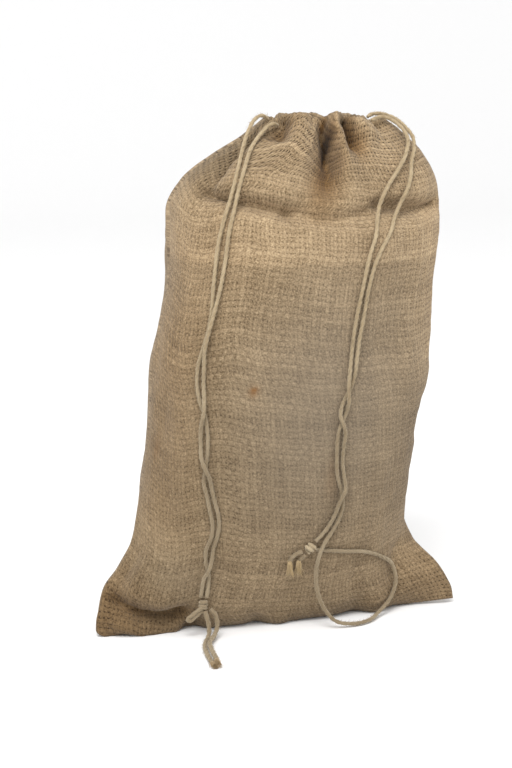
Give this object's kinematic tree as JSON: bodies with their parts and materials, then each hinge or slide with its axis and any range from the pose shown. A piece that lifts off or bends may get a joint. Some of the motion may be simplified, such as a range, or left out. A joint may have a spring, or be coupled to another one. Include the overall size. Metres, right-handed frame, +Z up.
{
  "type": "hessian drawstring sack",
  "caption": "Standing woven jute sack, filled out in the body, gathered at the mouth by twine drawstrings that hang down its front and end in knots.",
  "frame": {"origin": "centre of the sack's own box at its base, on the surface it stands on", "axes": "+Z up to the gathered mouth, -Y towards the front where the twines hang, +X to the right seen from the front"},
  "size_m": [0.2387, 0.163, 0.3223],
  "materials": {
    "hessian": "coarse matt plain weave",
    "jute_twine": "matt two-ply twine"
  },
  "bodies": {
    "root": {"sack": "hessian", "left_strand_a": "jute_twine", "left_strand_b": "jute_twine", "left_knot": "jute_twine", "left_tail_a": "jute_twine", "left_tail_b": "jute_twine", "right_strand_a": "jute_twine", "right_strand_b": "jute_twine", "right_knot": "jute_twine", "right_tail_a": "jute_twine", "right_tail_b": "jute_twine"}
  },
  "joints": []
}
